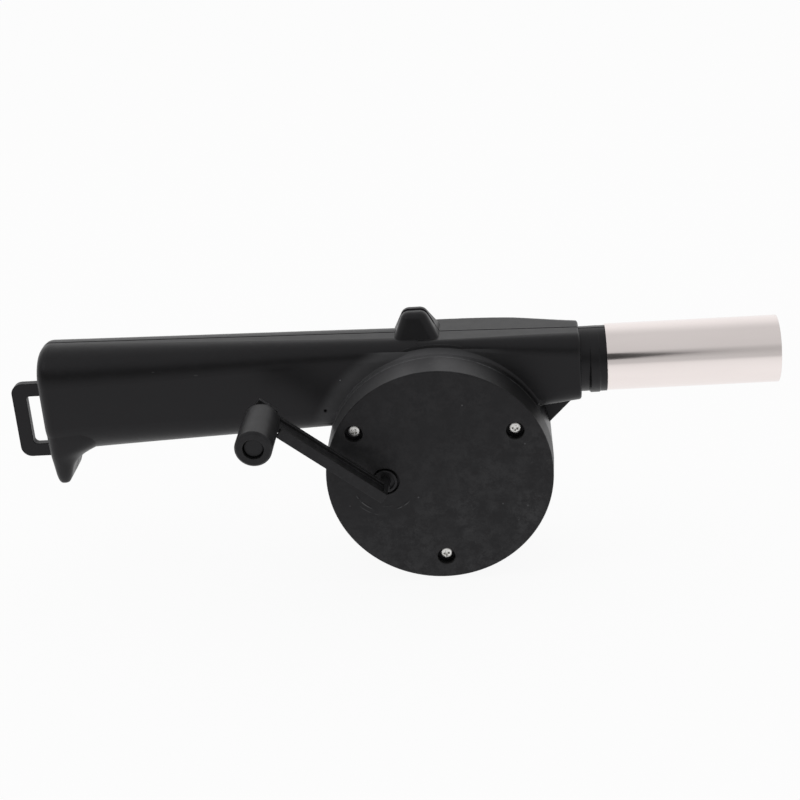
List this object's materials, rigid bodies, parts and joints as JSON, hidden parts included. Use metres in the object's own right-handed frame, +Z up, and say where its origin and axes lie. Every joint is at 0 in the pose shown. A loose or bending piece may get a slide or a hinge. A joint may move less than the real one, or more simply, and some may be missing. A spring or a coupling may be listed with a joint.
{
  "type": "hand-cranked barbecue blower",
  "caption": "Hand-cranked barbecue blower: black handle and round fan drum, a side crank with a knob, and a straight metal nozzle tube.",
  "frame": {"origin": "middle of the grip, on the parting plane of the two housing halves", "axes": "+X towards the nozzle's mouth, -Y towards the crank side, +Z up, with the nozzle tube's axis parallel to X"},
  "size_m": [0.2561, 0.0717, 0.0863],
  "materials": {
    "body_plastic": "black moulded plastic, semi-matte",
    "nozzle_metal": "smooth bright metal tube",
    "screw_steel": "zinc-plated cross-recess screws",
    "shaft_steel": "ground steel",
    "gear_plastic": "natural acetal",
    "fan_plastic": "black moulded plastic",
    "bush_brass": "sintered bush"
  },
  "bodies": {
    "housing": {"front_housing": "body_plastic", "rear_housing": "body_plastic", "drum_cover": "body_plastic", "cover_screws": "screw_steel", "housing_screws": "screw_steel", "nozzle_tube": "nozzle_metal", "partition_bush": "bush_brass", "cover_bush": "bush_brass", "idler_axle": "shaft_steel", "idler_washers": "shaft_steel", "fan_washers": "shaft_steel"},
    "crank": {"crank_arm": "body_plastic", "crank_gear": "gear_plastic", "crank_screw": "screw_steel", "crank_washer": "screw_steel"},
    "knob": {"crank_knob": "body_plastic"},
    "idler": {"idler_gear": "gear_plastic"},
    "fan": {"fan_shaft": "shaft_steel", "fan_pinion": "gear_plastic", "impeller": "fan_plastic", "impeller_washer": "shaft_steel", "impeller_nut": "shaft_steel"}
  },
  "joints": [
    {"name": "crank_spin", "type": "hinge", "parent": "housing", "child": "crank", "pos_m": [0.0622, -0.0226, -0.0266], "axis": [0, 1, 0], "continuous": true},
    {"name": "knob_spin", "type": "hinge", "parent": "crank", "child": "knob", "pos_m": [0.02607, -0.0474, 0.00203], "axis": [0, 1, 0], "continuous": true},
    {"name": "idler_spin", "type": "hinge", "parent": "housing", "child": "idler", "pos_m": [0.07158, -0.0169, -0.01266], "axis": [0, 1, 0], "continuous": true},
    {"name": "fan_spin", "type": "hinge", "parent": "housing", "child": "fan", "pos_m": [0.08, -0.01, -0.0258], "axis": [0, 1, 0], "continuous": true}
  ],
  "couplings": [
    {"joint": "idler_spin", "follows": "fan_spin", "ratio": -0.3},
    {"joint": "crank_spin", "follows": "fan_spin", "ratio": 0.081818}
  ]
}
